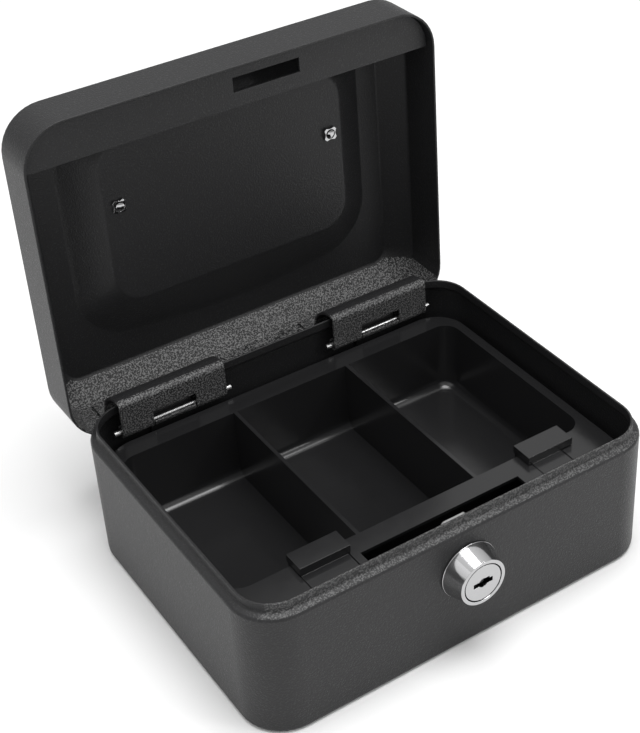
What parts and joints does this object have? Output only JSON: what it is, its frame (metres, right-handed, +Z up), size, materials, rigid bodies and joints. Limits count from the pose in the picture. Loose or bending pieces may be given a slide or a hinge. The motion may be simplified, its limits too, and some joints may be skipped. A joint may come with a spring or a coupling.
{
  "type": "cash box",
  "caption": "Small rectangular steel cash box with a hinged lid shown open, a cam lock in the front, a folding lid handle and a lift-out compartment tray.",
  "frame": {"origin": "middle of the flat underside, which stands on a table; the open lid reaches behind it", "axes": "+Z up, +X to the right seen from the front, front with the lock towards -Y, hinges towards +Y"},
  "size_m": [0.152, 0.1549, 0.1551],
  "materials": {
    "coat": "fine-textured black powder coat",
    "steel": "bright zinc-plated steel",
    "chrome": "bright chrome plate",
    "plastic": "glossy black moulded plastic"
  },
  "bodies": {
    "base": {"body_shell": "coat", "hinge_bracket_left": "coat", "hinge_bracket_right": "coat", "hinge_pin_left": "steel", "hinge_pin_right": "steel", "lock_housing": "chrome", "lock_washer": "steel", "lock_nut": "steel", "tray": "plastic", "tray_grip_left": "plastic", "tray_grip_right": "plastic"},
    "lid": {"lid_shell": "coat", "lid_latch_strip": "coat", "hinge_leaf_left": "coat", "hinge_leaf_right": "coat", "handle_post_left": "chrome", "handle_post_right": "chrome", "handle_star_left": "chrome", "handle_star_right": "chrome"},
    "handle": {"handle_bail": "chrome"},
    "key_plug": {"lock_plug": "chrome", "lock_wafer": "steel", "lock_cam": "steel", "lock_screw": "steel"}
  },
  "joints": [
    {"name": "lid_hinge", "type": "hinge", "parent": "base", "child": "lid", "pos_m": [0, 0.0542, 0.042], "axis": [-1, 0, 0], "range_deg": [-91, 0]},
    {"name": "handle_swing", "type": "hinge", "parent": "lid", "child": "handle", "pos_m": [0, 0.08321, 0.1111], "axis": [1, 0, 0], "range_deg": [0, 90]},
    {"name": "key_turn", "type": "hinge", "parent": "base", "child": "key_plug", "pos_m": [-0.001, -0.059, 0.0316], "axis": [0, -1, 0], "range_deg": [0, 90]}
  ]
}
